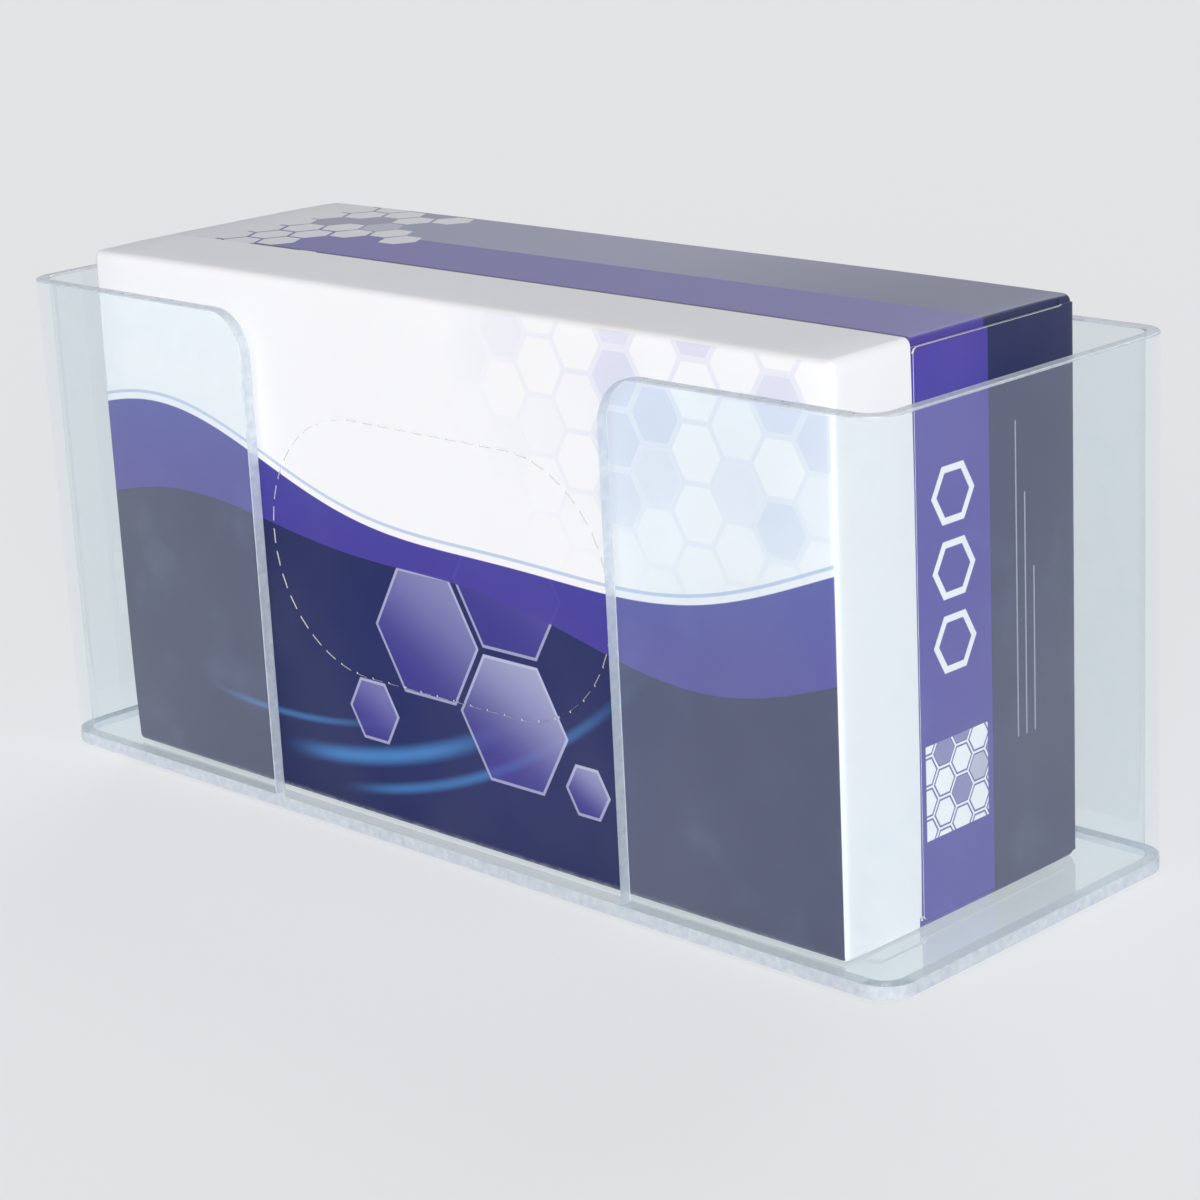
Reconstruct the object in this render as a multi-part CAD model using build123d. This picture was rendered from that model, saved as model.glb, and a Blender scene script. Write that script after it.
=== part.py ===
from build123d import *
import os

# A clear open-top holder for one carton of disposable gloves, with the closed carton standing in it.
# The holder is a floor plate and one sheet bent round it at four upright corners. The sheet stops short
# of itself at the front, so two lips hold the carton in and leave a slot to reach it through.
# Millimetres. X runs along the holder, the slot faces -Y and Z is up. The origin is the middle of the
# footprint, on the surface that the holder stands on.

# Folded board carton, outside sizes
carton_length = 240.0
carton_depth = 80.0
carton_height = 128.0
board = 0.5
fold_radius = 1.4

# Clear sheet
wall_sheet = 3.2
floor_sheet = 3.2
bend_radius = 8.0  # outside of each upright bend
edge_polish = 0.4  # rounding that flame polishing leaves on a cut edge

# Room between the carton and the inside of the holder
left_gap = 19.0
right_gap = 11.6
front_gap = 1.2
back_gap = 11.4
carton_proud = 9.2  # how far the carton stands above the holder's rim

# Holder, outside sizes: it is made round the carton
holder_width = carton_length + left_gap + right_gap + 2 * wall_sheet  # 277
holder_depth = carton_depth + front_gap + back_gap + 2 * wall_sheet  # 99
holder_height = floor_sheet + carton_height - carton_proud  # 122

# Front lips
left_lip_width = 84.2
right_lip_width = 76.0
lip_corner_radius = 11.0

# Two holes in the back for fixing the holder to a wall
screw_hole_diameter = 5.0
screw_end_distance = 38.5  # from each end of the holder
screw_rim_distance = 24.0  # below the rim
screw_spacing = holder_width - 2 * screw_end_distance  # 200
screw_height = holder_height - screw_rim_distance  # 98

# Glued flaps on each end of the carton: the inner one hinges at the front fold, the outer one at the back
inner_flap_show = 25.0  # width of the inner flap that the outer one leaves bare
outer_flap_width = carton_depth - inner_flap_show  # 55
inner_flap_inset = 3.0
outer_flap_inset = 2.0
flap_shoulder = 5.0  # full height beside the hinge
flap_taper = 5.0  # slope from the shoulder to the inset edge

# Tear-out panel in the front of the carton, outlined by short slits
panel_length = 112.0
panel_height = 62.0
panel_rise = 66.0  # middle of the panel above the carton's base
slit_length = 3.6
slit_pitch = 5.6
slit_width = 0.5
slit_depth = 0.35

inner_left = -holder_width / 2 + wall_sheet
inner_front = -holder_depth / 2 + wall_sheet
carton_middle_x = inner_left + left_gap + carton_length / 2
carton_middle_y = inner_front + front_gap + carton_depth / 2
carton_middle_z = floor_sheet + carton_height / 2


def floor_plate():
    """The base sheet, with its corners cut to follow the bent wall that stands on it."""
    with BuildPart() as plate:
        with BuildSketch():
            RectangleRounded(holder_width, holder_depth, bend_radius)
        extrude(amount=floor_sheet)
        fillet(plate.edges().group_by(Axis.Z)[0], min(edge_polish, floor_sheet / 3))
    return plate.part


def sheet_path():
    """Middle line of the bent sheet, from the left lip's end round the back to the right lip's end."""
    half = wall_sheet / 2
    side = holder_width / 2 - half
    back = holder_depth / 2 - half
    left_end = -holder_width / 2 + left_lip_width
    right_end = holder_width / 2 - right_lip_width
    return FilletPolyline(
        (left_end, -back),
        (-side, -back),
        (-side, back),
        (side, back),
        (side, -back),
        (right_end, -back),
        radius=bend_radius - half,
    )


def is_cut_edge(edge):
    """True for the long edges that border the sheet's cut rim: along its top and down its two free ends."""
    middle = edge.center()
    if edge.length < wall_sheet * 1.01 and edge.geom_type == GeomType.LINE:
        return False
    if middle.Z > holder_height - 0.01:
        return True
    between_lips = -holder_width / 2 + left_lip_width - lip_corner_radius - 0.01 < middle.X
    between_lips = between_lips and middle.X < holder_width / 2 - right_lip_width + lip_corner_radius + 0.01
    return between_lips and middle.Y < 0 and middle.Z > floor_sheet + 0.01


def wrap_wall():
    """The wall: one bent sheet with two front lips, rounded at their free top corners, and two screw holes."""
    with BuildPart() as wall:
        with BuildSketch(Plane.XY.offset(floor_sheet)):
            with BuildLine():
                sheet_path()
            trace(line_width=wall_sheet)
        extrude(amount=holder_height - floor_sheet)
        across_top = wall.edges().filter_by(Axis.Y).group_by(Axis.Z)[-1]
        fillet(across_top.sort_by(lambda edge: abs(edge.center().X))[:2], lip_corner_radius)
        with BuildSketch(Plane.XZ.offset(-holder_depth / 2)):
            with Locations((0, screw_height)):
                with GridLocations(screw_spacing, 0, 2, 1):
                    Circle(screw_hole_diameter / 2)
        extrude(amount=wall_sheet, mode=Mode.SUBTRACT)
        fillet(wall.edges().filter_by(is_cut_edge), min(edge_polish, wall_sheet / 3))
    return wall.part


def carton_plan():
    """Top view of the carton: its ends stand one board further out where the outer flap lies on the inner."""
    outer_end = carton_length / 2
    inner_end = outer_end - board
    half_depth = carton_depth / 2
    flap_edge = half_depth - outer_flap_width
    with BuildSketch() as plan:
        with BuildLine():
            Polyline(
                (-inner_end, -half_depth),
                (inner_end, -half_depth),
                (inner_end, flap_edge),
                (outer_end, flap_edge),
                (outer_end, half_depth),
                (-outer_end, half_depth),
                (-outer_end, flap_edge),
                (-inner_end, flap_edge),
                close=True,
            )
        make_face()
        fillet(plan.vertices().group_by(Axis.Y)[0] + plan.vertices().group_by(Axis.Y)[-1], fold_radius)
    return plan.sketch


def lower_notch():
    """What the flaps leave open above the carton's bottom fold, seen along X, with the fold at height 0."""
    half_depth = carton_depth / 2
    flap_edge = half_depth - outer_flap_width
    return [
        (-half_depth + flap_shoulder, 0),
        (-half_depth + flap_shoulder + flap_taper, inner_flap_inset),
        (flap_edge, inner_flap_inset),
        (flap_edge, outer_flap_inset),
        (half_depth - flap_shoulder, outer_flap_inset),
        (half_depth - flap_shoulder, 0),
    ]


def upper_notch():
    """What the outer flap leaves open under the carton's top fold, as distances down from the fold."""
    half_depth = carton_depth / 2
    flap_edge = half_depth - outer_flap_width
    return [
        (flap_edge, 0),
        (flap_edge, outer_flap_inset),
        (half_depth - flap_shoulder, outer_flap_inset),
        (half_depth - flap_shoulder, 0),
    ]


def slit_places():
    """Where the slits lie round the tear-out panel: points and directions, evenly spaced."""
    outline = SlotOverall(panel_length, panel_height).wire()
    count = round(outline.length / slit_pitch)
    shares = [(number + 0.5) / count for number in range(count)]
    return [(outline.position_at(share), outline.tangent_angle_at(share)) for share in shares]


def glove_carton():
    """The closed carton: a folded tube of board with glued end flaps and a slit-outlined front panel."""
    half_height = carton_height / 2
    dust_flap = carton_length / 2 - 2 * board
    with BuildPart() as carton:
        add(carton_plan())
        extrude(amount=half_height, both=True)
        with BuildSketch(Plane.YZ):
            RectangleRounded(carton_depth, carton_height, fold_radius)
        extrude(amount=carton_length, both=True, mode=Mode.INTERSECT)
        for end in (-1, 1):
            with BuildSketch(Plane.YZ.offset(end * dust_flap)):
                for notch, fold in ((lower_notch(), -half_height), (upper_notch(), half_height)):
                    inward = -1 if fold > 0 else 1
                    corners = [(across, fold + inward * up) for across, up in notch]
                    with BuildLine():
                        Polyline(*corners, close=True)
                    make_face()
            extrude(amount=end * 3 * board, mode=Mode.SUBTRACT)
        with BuildSketch(Plane.XZ.offset(carton_depth / 2)):
            for place, angle in slit_places():
                with Locations(Location((place.X, place.Y + panel_rise - half_height, 0), (0, 0, angle))):
                    Rectangle(slit_length, slit_width)
        extrude(amount=-slit_depth, mode=Mode.SUBTRACT)
    return carton.part.moved(Location((carton_middle_x, carton_middle_y, carton_middle_z)))


def main():
    os.makedirs("parts", exist_ok=True)
    for name, make in (
        ("floor_plate", floor_plate),
        ("wrap_wall", wrap_wall),
        ("glove_carton", glove_carton),
    ):
        export_step(make(), f"parts/{name}.step")


if __name__ == "__main__":
    main()
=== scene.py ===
"""Clear holder for one carton of disposable gloves: the carton, the clear sheet's finish and the stage.

The holder's floor plate and bent wall keep their CAD shapes and get a clear sheet finish. The carton is
modelled here in the place of its CAD solid. Lengths are metres, X runs along the holder, the slot faces -Y
and Z is up.
"""

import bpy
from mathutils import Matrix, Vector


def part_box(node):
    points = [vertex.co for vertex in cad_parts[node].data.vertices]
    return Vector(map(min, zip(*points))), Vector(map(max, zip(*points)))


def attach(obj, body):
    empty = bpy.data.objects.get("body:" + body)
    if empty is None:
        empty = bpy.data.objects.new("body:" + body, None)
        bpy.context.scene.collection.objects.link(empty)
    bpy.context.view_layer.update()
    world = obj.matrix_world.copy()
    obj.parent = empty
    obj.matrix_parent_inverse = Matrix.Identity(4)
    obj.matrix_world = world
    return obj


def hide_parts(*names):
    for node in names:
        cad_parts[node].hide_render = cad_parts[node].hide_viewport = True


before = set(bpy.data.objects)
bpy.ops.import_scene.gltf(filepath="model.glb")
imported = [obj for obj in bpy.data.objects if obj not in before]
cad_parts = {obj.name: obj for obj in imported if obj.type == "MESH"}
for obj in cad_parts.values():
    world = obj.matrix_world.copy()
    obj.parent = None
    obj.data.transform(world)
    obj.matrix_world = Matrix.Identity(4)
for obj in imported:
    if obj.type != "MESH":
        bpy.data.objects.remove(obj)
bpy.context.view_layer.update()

import math

import bmesh
import bpy
from mathutils import Matrix, Vector

bl_info = {
    "name": "Glove dispenser",
    "version": (1, 0, 0),
    "blender": (4, 5, 0),
    "location": "View3D > Sidebar > Glove dispenser",
    "description": "Models the carton, finishes the clear sheet and sets the stage of a glove dispenser",
    "category": "Object",
}

MM = 0.001
FLAP_SHOULDER = 5 * MM  # full height of an end flap beside its fold
SLOPE_END = 10 * MM  # from the fold to where the slope below that shoulder meets the inner flap's edge
SLIT_LENGTH, SLIT_WIDTH, SLIT_DEPTH, SLIT_PITCH = 3.6, 0.5, 0.35, 5.6  # mm
SLIT_START = -0.6  # mm, where a slit's cutter starts in front of the panel
FLAP_CORNER = 1.2 * MM  # rounding of the outer flap's free corners
HINGE_WIDTH = 3.8 * MM  # strip beside its fold where the outer flap is full height
HINGE_INSET = 0.55  # of the fold's radius: how far in front of the rear face the outer flap starts
CUT_EDGE = 0.12 * MM  # rounding of the board's cut edges
STRIPED, FRONT, BARE = range(3)  # the carton's materials in their order
COS_30, SIN_30 = 0.866, 0.5
SHEET_IOR = 1.49

# The photograph's camera: what it aims at, where it stands and its lens
CAMERA_AIM = (30.898, -19.717, 60.0)  # mm
CAMERA_AZIMUTH, CAMERA_ELEVATION, CAMERA_ROLL = 45.262, 16.579, -2.878  # degrees
CAMERA_DISTANCE = 714.08  # mm
FRAME_WIDTH = 1200  # pixels
FOCAL_LENGTH = 3158.04  # pixels
SENSOR_WIDTH = 36.0  # mm

# The stage: each lamp's direction as azimuth and elevation, and how wide it looks, all in degrees
KEY_FROM, KEY_SPREAD = (43, 13), 44
FILL_FROM, FILL_SPREAD = (203, 40), 34
STAGE_SIZE = 60  # metres, so wide that its far edge lies at the horizon
STAGE_DROP = 0.4 * MM  # keeps the stage's face clear of the face that the holder stands on
STAGE_GLOW = 0.7  # how much of the floor's own light is seen, so that it looks evenly lit

CARTON_LOW, CARTON_HIGH = (Vector(corner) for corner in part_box("glove_carton"))
WALL_LOW, WALL_HIGH = (Vector(corner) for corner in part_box("wrap_wall"))


# ---------------------------------------------------------------- sizes and colours


def length(name, text, value):
    return bpy.props.FloatProperty(
        name=name, description=text, default=value, unit="LENGTH", min=0, precision=5
    )


def colour(name, text, value):
    return bpy.props.FloatVectorProperty(
        name=name, description=text, default=value, subtype="COLOR", size=3, min=0, max=1
    )


def share(name, text, value):
    return bpy.props.FloatProperty(
        name=name, description=text, default=value, subtype="FACTOR", min=0, max=1
    )


def brightness(name, text, value):
    return bpy.props.FloatProperty(name=name, description=text, default=value, min=0)


def screen(red, green, blue):
    """Linear colour of a screen colour that is given from 0 to 255."""
    parts = (part / 255 for part in (red, green, blue))
    return tuple(part / 12.92 if part <= 0.04045 else ((part + 0.055) / 1.055) ** 2.4 for part in parts)


class GLOVES_PG_sheet(bpy.types.PropertyGroup):
    tint: colour("Tint", "Colour that white takes on behind one thickness of the sheet", (0.925, 0.965, 0.972))
    # the cut edge's colour is painted glow of light carried inside the sheet
    edge: colour("Cut edge", "Colour of the polished cut edges", screen(184, 193, 205))
    edge_share: share("Edge brightness", "How much of a cut edge glows with light from inside the sheet", 0.8)
    polish: share("Roughness", "Roughness of the faces", 0.02)
    # The haze and its bluish colour stand for dust and fine scratches, and also paint a bluish reflection of
    # the room onto the sheet
    haze: share("Haze", "How much of each thickness is dulled by fine scratches and dust", 0.024)
    haze_tint: colour("Haze colour", "Colour of the dulled parts", (0.42, 0.66, 1.0))


class GLOVES_PG_carton(bpy.types.PropertyGroup):
    board: length("Board", "Thickness of the folding board", 0.5 * MM)
    fold: length("Fold radius", "Rounding of the folds", 1.7 * MM)
    crown: length("Crown", "How far the middle of a panel stands out past its folds", 0.7 * MM)
    flap_show: length("Inner flap", "Width of the inner end flap that the outer one leaves bare", 25 * MM)
    flap_drop: length("Outer flap inset", "Distance from the outer flap's edges to the folds", 2 * MM)
    inner_drop: length("Inner flap inset", "Distance from the inner flap's lower edge to the fold", 3 * MM)
    panel_length: length("Tear-out length", "Length of the tear-out panel", 112 * MM)
    panel_height: length("Tear-out height", "Height of the tear-out panel", 62 * MM)
    panel_rise: length("Tear-out rise", "Middle of the tear-out panel above the carton's base", 66 * MM)
    white: colour("White", "Unprinted face of the board", screen(240, 240, 243))
    violet: colour("Violet", "Band that runs over the top and ends", screen(70, 61, 152))
    slate: colour("Slate", "Lower field of the front and rear field of the top and ends", screen(34, 41, 82))
    navy: colour("Navy", "Dark middle of the front's lower field", screen(30, 38, 92))
    sky: colour("Sky", "Light strokes on the front", screen(76, 138, 205))
    # mist is also mixed into the top's stripes as painted sheen
    mist: colour("Mist", "Pale cells on the white field", screen(206, 210, 232))
    stripe: length("Violet stripe", "Distance from the front to the violet stripe's rear edge", 49.5 * MM)


class GLOVES_PG_stage(bpy.types.PropertyGroup):
    floor: colour("Floor", "Colour of the floor", (0.86, 0.875, 0.89))
    key: brightness("Key light", "Watts per square metre", 3.95)
    fill: brightness("Fill light", "Watts per square metre", 0.9)
    sky: brightness("Room light", "Strength of the light from all round", 0.15)
    backdrop: brightness("Backdrop", "Brightness of the room as it is seen and mirrored", 0.8)


# ---------------------------------------------------------------- shader maths


class Value:
    """A socket of a shader tree that can stand in a Python expression."""

    def __init__(self, finish, socket):
        self.finish = finish
        self.socket = socket

    def __add__(self, other):
        return self.finish.math("ADD", self, other)

    __radd__ = __add__

    def __sub__(self, other):
        return self.finish.math("SUBTRACT", self, other)

    def __rsub__(self, other):
        return self.finish.math("SUBTRACT", other, self)

    def __mul__(self, other):
        return self.finish.math("MULTIPLY", self, other)

    def __truediv__(self, other):
        return self.finish.math("DIVIDE", self, other)

    def __abs__(self):
        return self.finish.math("ABSOLUTE", self)

    def most(self, other):
        return self.finish.math("MAXIMUM", self, other)

    def least(self, other):
        return self.finish.math("MINIMUM", self, other)

    def sine(self):
        return self.finish.math("SINE", self)

    def root(self):
        return self.finish.math("SQRT", self)

    def round(self):
        return self.finish.math("ROUND", self)

    def wrapped(self, reach):
        """The value repeated between -reach and reach."""
        return self.finish.math("WRAP", self, reach, -reach)


class Finish:
    """A material whose nodes are written as expressions."""

    def __init__(self, name):
        self.material = bpy.data.materials.new(name)
        self.material.use_nodes = True
        self.tree = self.material.node_tree
        self.tree.nodes.clear()

    def node(self, kind, output=0, settings=None, **inputs):
        """A node with its settings made first, then its sockets; the names of sockets have _ for a space."""
        made = self.tree.nodes.new(kind)
        for name, value in (settings or {}).items():
            setattr(made, name, value)
        for name, value in inputs.items():
            number = name.removeprefix("socket_")
            self.feed(made.inputs[int(number) if number.isdigit() else name.replace("_", " ")], value)
        return Value(self, made.outputs[output])

    def feed(self, socket, value):
        """Links value to socket, or sets the socket to it where it is a constant."""
        if isinstance(value, Value):
            self.tree.links.new(value.socket, socket)
        elif socket.type == "RGBA" and len(value) == 3:
            socket.default_value = (*value, 1)
        else:
            socket.default_value = value

    def math(self, operation, *values):
        sockets = {f"socket_{place}": value for place, value in enumerate(values)}
        return self.node("ShaderNodeMath", settings={"operation": operation}, **sockets)

    def mix(self, low, high, factor):
        """Colour low where factor is 0 and high where it is 1."""
        settings = {"data_type": "RGBA", "clamp_factor": True}
        return self.node("ShaderNodeMix", 2, settings, socket_0=factor, socket_6=low, socket_7=high)

    def rise(self, value, start, end, low=0.0, high=1.0):
        """From low at start to high at end, eased at both ends."""
        settings = {"interpolation_type": "SMOOTHSTEP"}
        return self.node(
            "ShaderNodeMapRange", 0, settings,
            Value=value, From_Min=start, From_Max=end, To_Min=low, To_Max=high,
        )

    def below(self, value, edge, soft=0.12):
        """1 where value is under edge, with an edge as soft as ink on board."""
        return self.rise(value - edge, -soft, soft, 1.0, 0.0)

    def between(self, value, low, high, soft=0.12):
        """1 where value lies from low to high."""
        return self.below(value, high, soft) * (1 - self.below(value, low, soft))

    def place(self):
        """Object coordinates in millimetres: the vector and its three parts."""
        coordinates = self.node("ShaderNodeTexCoord", 3)
        scaled = self.node(
            "ShaderNodeVectorMath", 0, {"operation": "SCALE"}, socket_0=coordinates, Scale=1000.0
        )
        apart = self.node("ShaderNodeSeparateXYZ", 0, socket_0=scaled).socket.node
        return scaled, *(Value(self, output) for output in apart.outputs)

    def facing(self):
        """The three parts of the surface's own normal."""
        normal = self.node("ShaderNodeTexCoord", 1)
        apart = self.node("ShaderNodeSeparateXYZ", 0, socket_0=normal).socket.node
        return [Value(self, output) for output in apart.outputs]

    def noise(self, where, per_mm, detail=2.0, rough=0.5):
        return self.node("ShaderNodeTexNoise", 0, Vector=where, Scale=per_mm, Detail=detail, Roughness=rough)

    def hexagon(self, across, up):
        """Distance from a hexagon's middle, measured to its flat sides."""
        return (abs(across) * COS_30 + abs(up) * SIN_30).most(abs(up))

    def honeycomb(self, across, up, size):
        """Of the nearest cell: distance from its middle to its flat sides, its own number, and its middle."""
        pitch = size * math.sqrt(3)
        cells = []
        for shift in (0, 1):
            right, above = (across - shift * pitch).wrapped(pitch), (up - shift * size).wrapped(size)
            column, row = ((across - right) / pitch).round(), ((up - above) / size).round()
            cells.append((self.hexagon(right, above), column, row))
        (reach, column, row), (other_reach, other_column, other_row) = cells
        other = self.math("LESS_THAN", other_reach, reach)
        column = column + (other_column - column) * other
        row = row + (other_row - row) * other
        cell = self.node("ShaderNodeCombineXYZ", X=column, Y=row)
        chance = self.node("ShaderNodeTexWhiteNoise", "Value", {"noise_dimensions": "2D"}, Vector=cell)
        return reach.least(other_reach), chance, column * pitch, row * size

    def output(self, surface):
        made = self.tree.nodes.new("ShaderNodeOutputMaterial")
        self.feed(made.inputs["Surface"], surface)
        return self.material


# ---------------------------------------------------------------- finishes


def clear_sheet(settings, name, is_wall):
    """Clear cast sheet: it mirrors at glancing angles, tints what is behind it and glows at its cut edges."""
    f = Finish(name)
    where, x, y, z = f.place()
    nx, _, nz = f.facing()
    outside = 1 - f.node("ShaderNodeNewGeometry", "Backfacing")
    bent = f.node("ShaderNodeFresnel", IOR=SHEET_IOR)
    mirrored = bent * 2 / (bent + 1) * outside  # the outer face mirrors for both faces of the sheet
    smear = f.rise(f.noise(where, 0.045, 3.0, 0.6), 0.5, 0.75)
    ripple = f.node("ShaderNodeBump", Strength=0.25, Distance=MM, Height=f.noise(where, 0.02, 1.0, 0.4))
    face_tint = tuple(math.sqrt(part) for part in settings.tint)
    passed = f.node("ShaderNodeBsdfTransparent", Color=face_tint)
    gloss = f.node(
        "ShaderNodeBsdfGlossy", Color=(1.0, 1.0, 1.0), Roughness=settings.polish + smear * 0.05, Normal=ripple
    )
    # a diffuse bluish layer on the outer faces: dust and fine scratches, and also a painted reflection of the
    # room
    dust_and_painted_reflection = f.node("ShaderNodeBsdfDiffuse", Color=settings.haze_tint)
    film = f.node(
        "ShaderNodeMixShader", socket_0=(settings.haze + smear * 0.05) * outside, socket_1=passed, socket_2=dust_and_painted_reflection
    )
    pane = f.node("ShaderNodeMixShader", socket_0=mirrored, socket_1=film, socket_2=gloss)
    if is_wall:  # cut along its rim, down the lips' free ends, and wherever it faces up or down
        rim = f.rise(z, WALL_HIGH.z / MM - 0.5, WALL_HIGH.z / MM - 0.38)
        front = f.below(y, WALL_LOW.y / MM + 3.6)
        inner = f.between(x, WALL_LOW.x / MM + 60, WALL_HIGH.x / MM - 60)
        end = f.rise(abs(nx), 0.55, 0.75) * front * inner
        cut = rim.most(end).most(f.rise(abs(nz), 0.5, 0.8))
    else:  # cut all round, which is where it faces neither up nor down
        cut = f.rise(nz, 0.3, 0.6, 1.0, 0.0) * f.rise(nz, -0.6, -0.3)
    # painted glow: the cut edges are a light grey satin surface for the light carried inside the sheet, broken
    # by streaks
    streaks = f.noise(where, 0.5, 3.0, 0.6)
    painted_edge_glow = f.node(
        "ShaderNodeBsdfPrincipled",
        Base_Color=f.mix(settings.edge, settings.tint, f.rise(streaks, 0.35, 0.8, 0.0, 0.3)),
        Roughness=0.22 + streaks * 0.15,
        IOR=SHEET_IOR,
    )
    sheet = f.node("ShaderNodeMixShader", socket_0=cut * settings.edge_share, socket_1=pane, socket_2=painted_edge_glow)
    light_let_through = f.node("ShaderNodeBsdfTransparent", Color=(0.97, 0.985, 0.985))
    shadow = Value(f, f.tree.nodes.new("ShaderNodeLightPath").outputs["Is Shadow Ray"])
    return f.output(f.node("ShaderNodeMixShader", socket_0=shadow, socket_1=sheet, socket_2=light_let_through))


def ink_on_board(f, ink, where, wear):
    """Varnished ink on coated board, with the board's fibres, a faint waviness and wear at the folds."""
    fibres = f.noise(where, 2.2, 3.0, 0.6)
    waves = f.noise(where, 0.03, 2.0, 0.5)
    shade = f.noise(where, 0.018, 3.0, 0.5)
    toned = f.mix(ink, (0.5, 0.5, 0.52), f.rise(shade, 0.3, 0.9, 0.0, 0.06))
    worn = f.mix(toned, screen(232, 231, 230), wear)
    height = fibres * 0.02 + waves * 0.9
    bumped = f.node("ShaderNodeBump", Strength=0.5, Distance=MM, Height=height)
    return f.output(
        f.node(
            "ShaderNodeBsdfPrincipled",
            Base_Color=worn,
            Roughness=0.5 + fibres * 0.1 + wear * 0.15,
            Specular_IOR_Level=0.17,
            Coat_Weight=0.03,
            Coat_Roughness=0.3,
            Normal=bumped,
        )
    )


def fold_wear(f, where, x, y, z, fold):
    """Where the ink is rubbed thin: in broken lines along the folds."""
    middle = (CARTON_LOW + CARTON_HIGH) / 2 / MM
    half = (CARTON_HIGH - CARTON_LOW) / 2 / MM
    gaps = [half[axis] - abs(place - middle[axis]) for axis, place in enumerate((x, y, z))]
    nearest = (gaps[0] + gaps[1]).least(gaps[1] + gaps[2]).least(gaps[2] + gaps[0])
    rub = f.rise(nearest, 0.2 * fold, 1.5 * fold, 1.0, 0.0)
    broken = f.rise(f.noise(where, 0.35, 4.0, 0.7), 0.35, 0.7)
    return rub * (0.12 + broken * 0.45)


def striped_print(settings, name):
    """White, violet and slate stripes that run over the top, the ends and the base, paled on the top by painted
    sheen.
    """
    f = Finish(name)
    where, x, y, z = f.place()
    across, depth, up = x - CARTON_LOW.x / MM, y - CARTON_LOW.y / MM, z - CARTON_LOW.z / MM
    show, stripe = settings.flap_show / MM, settings.stripe / MM
    at_end = f.rise(abs(across - 120), 118.0, 118.4)
    at_back = f.rise(depth, 78.4, 78.8) * (1 - at_end)
    at_top = f.rise(up, 126.4, 126.8) * (1 - at_end) * (1 - at_back)
    edge = show + (stripe - show) / 2

    # honeycomb that thins the top's stripes out to the left and lies faintly on the back
    reach, chance, cell_across, _ = f.honeycomb(across, depth, 5.2)
    open_cell = f.rise(chance * 60 + 20 - cell_across, -0.2, 0.2) * f.below(reach, 4.75, 0.12)
    thinned = f.rise(across, 17.8, 18.2, 1.0, 0.0).most(open_cell) * at_top
    slate = settings.slate
    back_reach, back_chance, _, cell_up = f.honeycomb(across, up, 8.4)
    lit = f.below(back_reach, 7.8, 0.15) * f.rise(back_chance * 0.8 + cell_up * 0.004, 0.45, 0.9)
    slate = f.mix(slate, settings.violet, lit * at_back * 0.55)
    slate = f.mix(slate, settings.violet, f.between(up, 12, 24) * at_back)

    # on the slate of the ends, three thin rules
    rules = f.between(depth, 58.3, 58.7).most(f.between(depth, 61.3, 61.7) * f.below(up, 88))
    rules = rules.most(f.between(depth, 64.3, 64.7) * f.below(up, 71)) * f.between(up, 34, 104)
    slate = f.mix(slate, settings.mist, rules * at_end * 0.55)

    # on the violet of the ends, a tile with a scrap of honeycomb and three open cells above it
    violet = settings.violet
    aside = depth - edge
    tile = f.below(abs(aside).most(abs(up - 30)), 10.5)
    scrap, scrap_chance = f.honeycomb(aside - 1.5, up - 28, 3.4)[:2]
    drawn = f.between(scrap, 2.75, 3.15).most(f.below(scrap, 2.75) * f.rise(scrap_chance, 0.6, 0.64) * 0.8)
    violet = f.mix(violet, settings.white, tile * (1 - drawn) * at_end)
    for height, size in ((61, 6.2), (77, 6.2), (93, 6.2)):
        cell = f.hexagon(aside, up - height)
        violet = f.mix(violet, settings.white, f.between(cell, size - 1.5, size) * at_end * 0.95)
    # painted sheen: on the top, the violet and slate are paled towards mist, more to the left
    violet = f.mix(violet, settings.mist, at_top * 0.24)
    slate = f.mix(slate, settings.mist, at_top * f.rise(across, 120, 236, 0.55, 0.32))

    inked = f.mix(slate, violet, f.below(depth, stripe))
    hairline = f.between(depth, show, show + 1.1) * at_top
    inked = f.mix(inked, settings.slate, hairline * 0.8)
    inked = f.mix(inked, settings.white, thinned * 0.9)
    ink = f.mix(inked, settings.white, f.below(depth, show))
    wear = fold_wear(f, where, x, y, z, settings.fold / MM)
    return ink_on_board(f, ink, where, wear)


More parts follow.
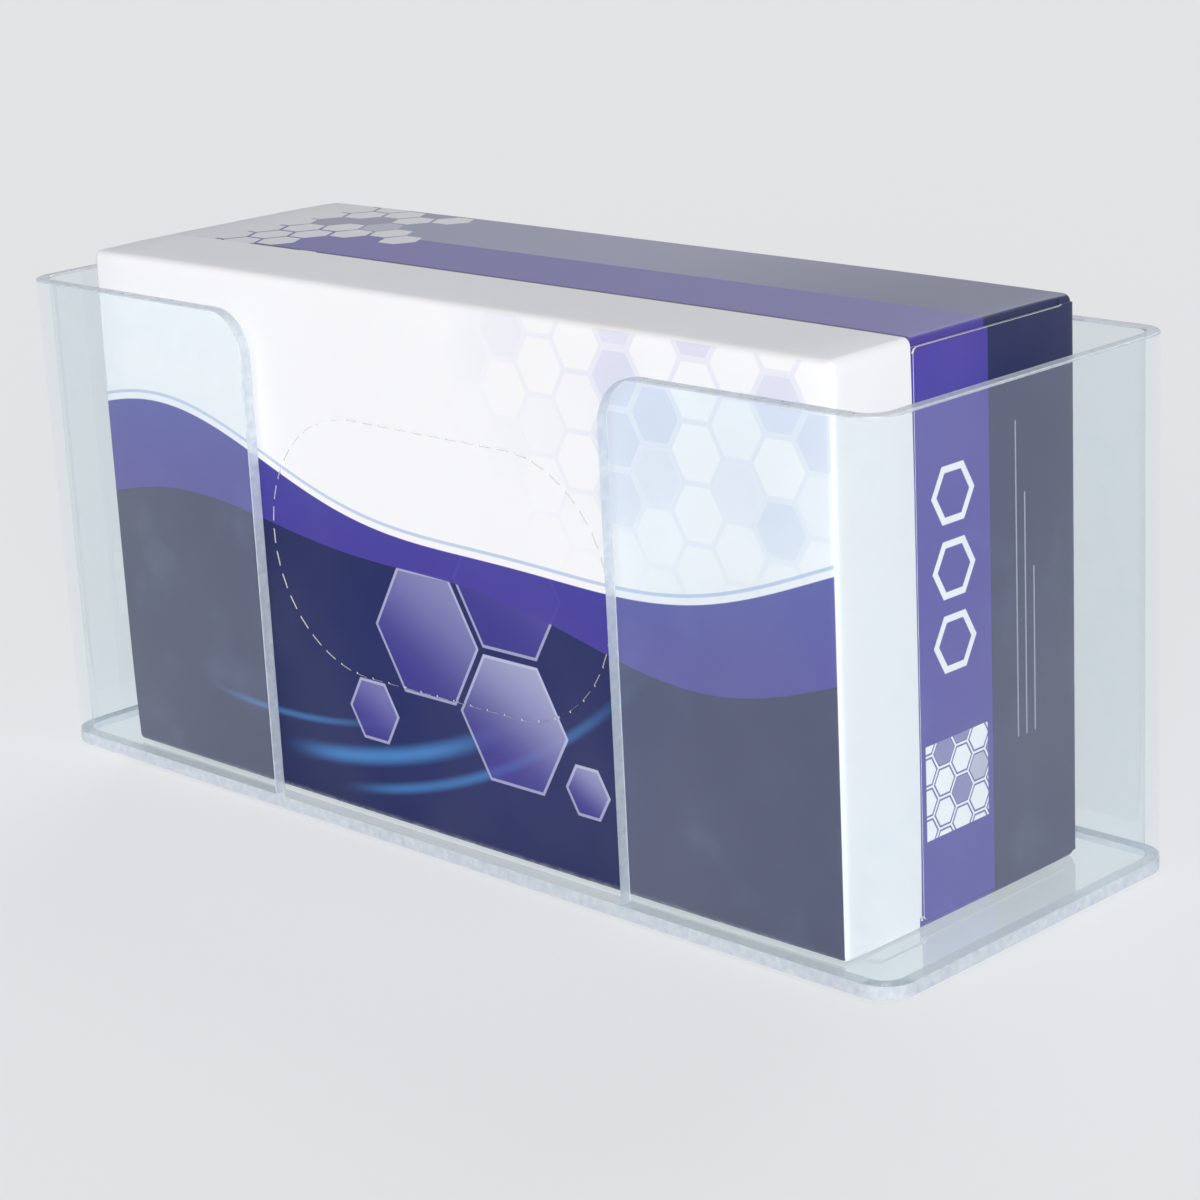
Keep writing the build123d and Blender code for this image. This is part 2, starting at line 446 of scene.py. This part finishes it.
def front_print(settings, name):
    """White field with pale cells over a wave of violet, with a navy pool, light strokes and hexagons."""
    f = Finish(name)
    where, x, y, z = f.place()
    across = x - CARTON_LOW.x / MM
    up = z - CARTON_LOW.z / MM
    wave = 78 + (across * 0.024 + 1.1).sine() * 11 + (across * 0.051 + 0.4).sine() * 3
    ribbon = 15 + (across * 0.0262 + 1.57).sine() * 8
    pool = f.rise(((across - 128) * (across - 128) * 0.45 + (up - 40) * (up - 40)).root(), 18, 70, 1.0, 0.0)
    lower = f.mix(settings.slate, settings.navy, pool)
    for centre_x, centre_y, radius, width, start, end, strength in (
        (60, 190, 178, 3.2, 60, 150, 0.75),
        (60, 190, 186, 2.0, 80, 190, 0.55),
        (60, 190, 170, 1.4, 30, 110, 0.5),
    ):
        reach = ((across - centre_x) * (across - centre_x) + (up - centre_y) * (up - centre_y)).root()
        stroke = f.rise(abs(reach - radius), 0.0, width, 1.0, 0.0)
        window = f.rise(across, start, start + 25) * f.rise(across, end - 40, end, 1.0, 0.0)
        lower = f.mix(lower, settings.sky, stroke * window * strength)
    for cell_x, cell_y, size, paleness in (
        (116, 49, 15, 0.35),
        (143.4, 33.2, 15, 0.6),
        (143.4, 64.8, 15, 0.1),
        (96, 27, 7.5, 0.25),
        (166, 22, 6, 0.5),
    ):
        reach = f.hexagon(across - cell_x, up - cell_y)
        light = f.rise(up - cell_y + (across - cell_x) * 0.5, -size, size * 1.5)
        tone = f.mix(settings.violet, settings.mist, light * paleness)
        lower = f.mix(lower, tone, f.below(reach, size, 0.15) * f.rise(light, -0.6, 0.7, 0.45, 0.92))
        lower = f.mix(lower, settings.mist, f.between(reach, size - 0.7, size, 0.1) * 0.5)
    violet = f.mix(settings.violet, settings.sky, f.rise(up - wave + ribbon, 0, 30, 0.0, 0.12))
    lower = f.mix(lower, violet, (1 - f.below(up, wave - ribbon)) * 0.96)

    # pale cells that fade out from the upper right
    reach, chance = f.honeycomb(across, up, 6.5)[:2]
    fade = f.rise(((across - 205) * (across - 205) * 0.5 + (up - 118) * (up - 118)).root(), 14, 62, 1.0, 0.0)
    walls = f.rise(reach, 5.7, 6.1) * 0.4
    filled = f.below(reach, 5.8, 0.2) * f.rise(chance, 0.45, 0.95)
    upper = f.mix(settings.white, settings.mist, (walls + filled * 0.75) * fade)
    line = f.between(up, wave + 1.6, wave + 2.4)
    upper = f.mix(upper, settings.sky, line * 0.45)
    ink = f.mix(upper, lower, f.below(up, wave))
    wear = fold_wear(f, where, x, y, z, settings.fold / MM)
    return ink_on_board(f, ink, where, wear)


def bare_board(settings, name):
    """The grey-white inside of the board, where it is cut."""
    f = Finish(name)
    where = f.place()[0]
    fibres = f.noise(where, 3.0, 4.0, 0.7)
    grey = f.mix(screen(196, 194, 190), screen(226, 225, 222), fibres)
    bumped = f.node("ShaderNodeBump", Strength=0.4, Distance=0.2 * MM, Height=fibres)
    return f.output(
        f.node("ShaderNodeBsdfPrincipled", Base_Color=grey, Roughness=0.75 + fibres * 0.1, Normal=bumped)
    )


# ---------------------------------------------------------------- modelling by hand


def only(piece):
    """Makes piece the one selected, active object."""
    bpy.ops.object.select_all(action="DESELECT")
    piece.select_set(True)
    bpy.context.view_layer.objects.active = piece


def edit(piece, kind="FACE"):
    """Opens piece in edit mode with nothing selected and gives its bmesh."""
    if bpy.context.mode != "OBJECT":
        close()
    only(piece)
    bpy.ops.object.mode_set(mode="EDIT")
    bpy.ops.mesh.select_mode(type=kind)
    bpy.ops.mesh.select_all(action="DESELECT")
    return bmesh.from_edit_mesh(piece.data)


def show_selection(piece, mesh):
    mesh.select_flush_mode()
    bmesh.update_edit_mesh(piece.data)


def close():
    bpy.ops.object.mode_set(mode="OBJECT")


def block(name, low, high):
    """A box between two corners, with its place in its mesh."""
    bpy.ops.object.select_all(action="DESELECT")
    bpy.ops.mesh.primitive_cube_add(size=1, location=(low + high) / 2, scale=high - low)
    piece = bpy.context.object
    piece.name = name
    bpy.ops.object.transform_apply(location=True, rotation=True, scale=True)
    return piece


def plate(name, outline, start, end):
    """A flat plate with an outline in the YZ plane, extruded along X from start to end."""
    mesh = bpy.data.meshes.new(name)
    mesh.from_pydata([(start, *corner) for corner in outline], [], [range(len(outline))])
    piece = bpy.data.objects.new(name, mesh)
    bpy.context.scene.collection.objects.link(piece)
    edit(piece)
    bpy.ops.mesh.select_all(action="SELECT")
    bpy.ops.mesh.extrude_region_move(TRANSFORM_OT_translate={"value": (end - start, 0, 0)})
    bpy.ops.mesh.select_all(action="SELECT")
    bpy.ops.mesh.normals_make_consistent(inside=False)
    close()
    return piece


def cut_away(piece, cutters):
    """Takes the cutters out of piece and deletes them."""
    bpy.ops.object.select_all(action="DESELECT")
    for cutter in cutters:
        cutter.select_set(True)
    bpy.context.view_layer.objects.active = cutters[0]
    if len(cutters) > 1:
        bpy.ops.object.join()
    cutter = bpy.context.view_layer.objects.active
    only(piece)
    modifier = piece.modifiers.new("Cut", "BOOLEAN")
    modifier.operation = "DIFFERENCE"
    modifier.solver = "EXACT"
    modifier.use_self = True
    modifier.object = cutter
    bpy.ops.object.modifier_apply(modifier=modifier.name)
    bpy.data.objects.remove(cutter)


def joined(pieces):
    """Joins all pieces into the first and gives it."""
    bpy.ops.object.select_all(action="DESELECT")
    for piece in pieces:
        piece.select_set(True)
    bpy.context.view_layer.objects.active = pieces[0]
    bpy.ops.object.join()
    return pieces[0]


# ---------------------------------------------------------------- the carton


def carton_block(settings):
    """The tube of board with its folds rounded, up to the outside of the inner end flaps."""
    low = CARTON_LOW + Vector((settings.board, 0, 0))
    high = CARTON_HIGH - Vector((settings.board, 0, 0))
    body = block("folded_carton", low, high)
    edit(body)
    bpy.ops.mesh.select_all(action="SELECT")
    bpy.ops.mesh.subdivide(number_cuts=19)
    mesh = edit(body, "EDGE")
    for edge in mesh.edges:
        middle = (edge.verts[0].co + edge.verts[1].co) / 2
        on_side = [abs(middle[axis] - bound[axis]) < 1e-6 for axis in range(3) for bound in (low, high)]
        edge.select = sum(on_side) == 2
    show_selection(body, mesh)
    bpy.ops.mesh.bevel(offset=settings.fold, segments=5, affect="EDGES", profile=0.5)
    close()
    return body


def notch_cutters(settings, end):
    """What the end flaps leave open at the folds: a strip below both and one above the outer flap."""
    outside = CARTON_HIGH.x + MM if end > 0 else CARTON_LOW.x - MM
    dust_flap = (CARTON_HIGH.x - 2 * settings.board) if end > 0 else (CARTON_LOW.x + 2 * settings.board)
    front, back = CARTON_LOW.y, CARTON_HIGH.y
    base, top = CARTON_LOW.z, CARTON_HIGH.z
    flap_edge = front + settings.flap_show
    lower = [
        (front + FLAP_SHOULDER, base - MM),
        (front + FLAP_SHOULDER, base),
        (front + SLOPE_END, base + settings.inner_drop),
        (flap_edge, base + settings.inner_drop),
        (flap_edge, base + settings.flap_drop),
        (back - FLAP_SHOULDER, base + settings.flap_drop),
        (back - FLAP_SHOULDER, base - MM),
    ]
    upper = [
        (flap_edge, top + MM),
        (flap_edge, top - settings.flap_drop),
        (back - FLAP_SHOULDER, top - settings.flap_drop),
        (back - FLAP_SHOULDER, top + MM),
    ]
    start, finish = sorted((dust_flap, outside))
    shapes = {"low": lower, "high": upper}
    return [plate(f"notch_{end}_{place}", shape, start, finish) for place, shape in shapes.items()]


def outer_flap(settings, end):
    """The outer end flap: hinged at the rear fold, glued over the inner one."""
    flap_edge = CARTON_LOW.y + settings.flap_show
    back = CARTON_HIGH.y - settings.fold * HINGE_INSET
    base, top = CARTON_LOW.z, CARTON_HIGH.z
    drop, full, soft = settings.flap_drop, settings.fold, FLAP_CORNER
    eased = 0.35 * soft
    outline = [
        (flap_edge, base + drop + soft),
        (flap_edge + eased, base + drop + eased),
        (flap_edge + soft, base + drop),
        (back - FLAP_SHOULDER, base + drop),
        (back - HINGE_WIDTH, base + full),
        (back, base + full),
        (back, top - full),
        (back - HINGE_WIDTH, top - full),
        (back - FLAP_SHOULDER, top - drop),
        (flap_edge + soft, top - drop),
        (flap_edge + eased, top - drop - eased),
        (flap_edge, top - drop - soft),
    ]
    face = CARTON_HIGH.x if end > 0 else CARTON_LOW.x
    under = face - end * settings.board
    start, finish = sorted((under, face))
    flap = plate(f"outer_flap_{end}", outline, start, finish)
    mesh = edit(flap, "EDGE")
    for edge in mesh.edges:
        edge.select = all(abs(vert.co.x - face) < 1e-7 for vert in edge.verts)
    show_selection(flap, mesh)
    bpy.ops.mesh.bevel(offset=CUT_EDGE, segments=2, affect="EDGES")
    close()
    return flap


def slit_cutters(settings):
    """Short slits round the tear-out panel: one is modelled and the rest are copies of it."""
    middle = Vector(((CARTON_LOW.x + CARTON_HIGH.x) / 2, CARTON_LOW.y, CARTON_LOW.z + settings.panel_rise))
    straight = settings.panel_length - settings.panel_height
    radius = settings.panel_height / 2
    around = 2 * straight + 2 * math.pi * radius
    count = round(around / (SLIT_PITCH * MM))
    low = Vector((-SLIT_LENGTH / 2, SLIT_START, -SLIT_WIDTH / 2))
    high = Vector((SLIT_LENGTH / 2, SLIT_DEPTH, SLIT_WIDTH / 2))
    first = block("slit", low * MM, high * MM)
    cutters = []
    for number in range(count):
        run = (number + 0.5) / count * around
        if run < straight:
            place, turn = Vector((run - straight / 2, 0, -radius)), 0.0
        elif run < straight + math.pi * radius:
            turn = (run - straight) / radius
            place = Vector((straight / 2 + radius * math.sin(turn), 0, -radius * math.cos(turn)))
        elif run < 2 * straight + math.pi * radius:
            place, turn = Vector((1.5 * straight + math.pi * radius - run, 0, radius)), 0.0
        else:
            turn = (run - 2 * straight - math.pi * radius) / radius + math.pi
            place = Vector((-straight / 2 + radius * math.sin(turn), 0, -radius * math.cos(turn)))
        cutter = bpy.data.objects.new(f"slit_{number}", first.data.copy())
        cutter.data.transform(Matrix.Translation(middle + place) @ Matrix.Rotation(-turn, 4, "Y"))
        bpy.context.scene.collection.objects.link(cutter)
        cutters.append(cutter)
    bpy.data.objects.remove(first)
    return cutters


def crown(piece, settings):
    """Draws the folds of the front, top and ends in a little, so that each panel stands out in its middle."""
    middle = (CARTON_LOW + CARTON_HIGH) / 2
    half = (CARTON_HIGH - CARTON_LOW) / 2
    for vertex in piece.data.vertices:
        a, b, c = ((vertex.co[axis] - middle[axis]) / half[axis] for axis in range(3))
        if b < 0:
            vertex.co.y += settings.crown * -b * (0.6 * a**4 + 0.6 * c**4)
        if c > 0:
            vertex.co.z -= settings.crown * c * (0.6 * a**4 + 0.5 * b**4)
        vertex.co.x -= settings.crown * 0.5 * a * (b**4 + c**4)


def paint_carton(piece, settings):
    """Gives each face its print by where it lies and faces."""
    for make in (striped_print, front_print, bare_board):  # in the order of STRIPED, FRONT and BARE
        piece.data.materials.append(make(settings, make.__name__))
    for face in piece.data.polygons:
        normal, centre = face.normal, face.center
        rise = centre.z - CARTON_LOW.z
        facing_front = normal.y < -0.72 and centre.y < CARTON_LOW.y + 2 * MM
        face.material_index = FRONT if facing_front else STRIPED

        # the walls of the slits, just behind the front
        inside_front = CARTON_LOW.y + 0.02 * MM < centre.y < CARTON_LOW.y + 0.5 * MM
        in_panel = CARTON_LOW.x + 40 * MM < centre.x < CARTON_HIGH.x - 40 * MM and 8 * MM < rise < 120 * MM
        if in_panel and inside_front and abs(normal.y) < 0.5:
            face.material_index = BARE

        # the narrow cut edges of the end flaps
        at_end = min(centre.x - CARTON_LOW.x, CARTON_HIGH.x - centre.x) < 1.5 * MM
        on_flap = CARTON_LOW.y + 3 * MM < centre.y < CARTON_HIGH.y - 3 * MM and 1.7 * MM < rise < 126.4 * MM
        if at_end and on_flap and abs(normal.x) < 0.5 and face.area < 4e-5:
            face.material_index = BARE


class GLOVES_OT_carton(bpy.types.Operator):
    """Models the folded carton with its end flaps and tear-out panel"""

    bl_idname = "gloves.carton"
    bl_label = "Carton"

    def execute(self, context):
        settings = context.scene.gloves_carton
        body = carton_block(settings)
        for end in (-1, 1):
            for cutter in notch_cutters(settings, end):
                cut_away(body, [cutter])
        cut_away(body, slit_cutters(settings))
        carton = joined([body, outer_flap(settings, -1), outer_flap(settings, 1)])
        paint_carton(carton, settings)
        crown(carton, settings)
        only(carton)
        bpy.ops.object.shade_smooth_by_angle(angle=math.radians(32))
        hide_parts("glove_carton")
        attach(carton, "root")
        return {"FINISHED"}


# ---------------------------------------------------------------- the clear holder


class GLOVES_OT_holder(bpy.types.Operator):
    """Gives the holder's floor plate and bent wall their clear sheet finish"""

    bl_idname = "gloves.holder"
    bl_label = "Clear holder"

    def execute(self, context):
        settings = context.scene.gloves_sheet
        for node, is_wall in (("floor_plate", False), ("wrap_wall", True)):
            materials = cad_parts[node].data.materials
            materials.clear()
            materials.append(clear_sheet(settings, f"clear_{node}", is_wall))
        return {"FINISHED"}


# ---------------------------------------------------------------- the stage


def lamp(name, towards, spread, strength, tone):
    """Soft light from one direction, as even over the floor as over the object."""
    data = bpy.data.lights.new(name, "SUN")
    data.angle = math.radians(spread)
    data.energy = strength
    data.color = tone
    made = bpy.data.objects.new(name, data)
    made.location = towards * 2  # of no effect on its light, and clear of the object
    made.rotation_euler = towards.to_track_quat("Z", "Y").to_euler()
    bpy.context.scene.collection.objects.link(made)


def round_about(azimuth, elevation):
    """A direction as a vector of length 1: azimuth 0 is in front of the slot and 90 is to its right."""
    a, e = math.radians(azimuth), math.radians(elevation)
    return Vector((math.sin(a) * math.cos(e), -math.cos(a) * math.cos(e), math.sin(e)))


def floor_finish(settings):
    """Matt floor that shows partly its own light to the camera and in mirrored or refracted views."""
    f = Finish("stage_floor")
    paths = f.tree.nodes.new("ShaderNodeLightPath").outputs
    seen = Value(f, paths["Is Camera Ray"]).most(Value(f, paths["Is Glossy Ray"]))
    seen = seen.most(Value(f, paths["Is Transmission Ray"]))
    matt = f.node("ShaderNodeBsdfDiffuse", Color=settings.floor)
    lit = f.node("ShaderNodeEmission", Color=settings.floor, Strength=1.0)
    return f.output(f.node("ShaderNodeMixShader", socket_0=seen * STAGE_GLOW, socket_1=matt, socket_2=lit))


def room_light(settings):
    """Even light from all round, that is brighter where the camera sees it or the sheet mirrors it."""
    world = bpy.context.scene.world or bpy.data.worlds.new("Room")
    bpy.context.scene.world = world
    world.use_nodes = True
    tree = world.node_tree
    tree.nodes.clear()
    paths = tree.nodes.new("ShaderNodeLightPath").outputs
    seen = tree.nodes.new("ShaderNodeMath")
    seen.operation = "MAXIMUM"
    tree.links.new(paths["Is Camera Ray"], seen.inputs[0])
    tree.links.new(paths["Is Glossy Ray"], seen.inputs[1])
    also = tree.nodes.new("ShaderNodeMath")
    also.operation = "MAXIMUM"
    tree.links.new(seen.outputs[0], also.inputs[0])
    tree.links.new(paths["Is Transmission Ray"], also.inputs[1])
    strength = tree.nodes.new("ShaderNodeMapRange")
    tree.links.new(also.outputs[0], strength.inputs["Value"])
    strength.inputs["To Min"].default_value = settings.sky
    strength.inputs["To Max"].default_value = settings.backdrop
    light = tree.nodes.new("ShaderNodeBackground")
    light.inputs["Color"].default_value = (0.93, 0.95, 0.97, 1)
    tree.links.new(strength.outputs[0], light.inputs["Strength"])
    out = tree.nodes.new("ShaderNodeOutputWorld")
    tree.links.new(light.outputs[0], out.inputs["Surface"])


class GLOVES_OT_stage(bpy.types.Operator):
    """Lays the floor and sets the lamps, the room's light and the camera"""

    bl_idname = "gloves.stage"
    bl_label = "Stage"

    def execute(self, context):
        scene = context.scene
        settings = scene.gloves_stage
        bpy.ops.object.select_all(action="DESELECT")
        bpy.ops.mesh.primitive_plane_add(size=STAGE_SIZE, location=(0, 0, -STAGE_DROP))
        floor = context.object
        floor.name = "stage_floor"
        bpy.ops.object.transform_apply(location=True, rotation=True, scale=True)
        floor.data.materials.append(floor_finish(settings))
        lamp("key", round_about(*KEY_FROM), KEY_SPREAD, settings.key, (1.0, 0.99, 0.975))
        lamp("fill", round_about(*FILL_FROM), FILL_SPREAD, settings.fill, (0.95, 0.97, 1.0))
        room_light(settings)
        towards = round_about(CAMERA_AZIMUTH, CAMERA_ELEVATION)
        aimed_at = Vector(CAMERA_AIM) * MM
        right = (-towards).cross(Vector((0, 0, 1))).normalized()
        above = right.cross(-towards)
        roll = math.radians(CAMERA_ROLL)
        turned_right = math.cos(roll) * right + math.sin(roll) * above
        turned_up = math.cos(roll) * above - math.sin(roll) * right
        data = bpy.data.cameras.new("camera")
        data.sensor_width = SENSOR_WIDTH
        data.lens = FOCAL_LENGTH / FRAME_WIDTH * SENSOR_WIDTH
        data.clip_start, data.clip_end = 0.01, 50
        camera = bpy.data.objects.new("camera", data)
        axes = Matrix((turned_right, turned_up, towards)).transposed()
        camera.matrix_world = Matrix.Translation(aimed_at + towards * CAMERA_DISTANCE * MM) @ axes.to_4x4()
        scene.collection.objects.link(camera)
        scene.camera = camera
        scene.view_settings.view_transform = "Standard"
        return {"FINISHED"}


# ---------------------------------------------------------------- add-on


class GLOVES_PT_panel(bpy.types.Panel):
    bl_label = "Glove dispenser"
    bl_idname = "GLOVES_PT_panel"
    bl_space_type = "VIEW_3D"
    bl_region_type = "UI"
    bl_category = "Glove dispenser"

    def draw(self, context):
        for group, operator in (
            ("gloves_sheet", "gloves.holder"),
            ("gloves_carton", "gloves.carton"),
            ("gloves_stage", "gloves.stage"),
        ):
            box = self.layout.box()
            settings = getattr(context.scene, group)
            for name in settings.__annotations__:
                box.prop(settings, name)
            box.operator(operator)


GROUPS = {
    "gloves_sheet": GLOVES_PG_sheet,
    "gloves_carton": GLOVES_PG_carton,
    "gloves_stage": GLOVES_PG_stage,
}
CLASSES = (*GROUPS.values(), GLOVES_OT_holder, GLOVES_OT_carton, GLOVES_OT_stage, GLOVES_PT_panel)


def register():
    for one in CLASSES:
        bpy.utils.register_class(one)
    for name, group in GROUPS.items():
        setattr(bpy.types.Scene, name, bpy.props.PointerProperty(type=group))


def unregister():
    for name in GROUPS:
        delattr(bpy.types.Scene, name)
    for one in reversed(CLASSES):
        bpy.utils.unregister_class(one)


def main():
    register()
    bpy.ops.gloves.holder()
    bpy.ops.gloves.carton()
    bpy.ops.gloves.stage()


if __name__ == "__main__":
    main()
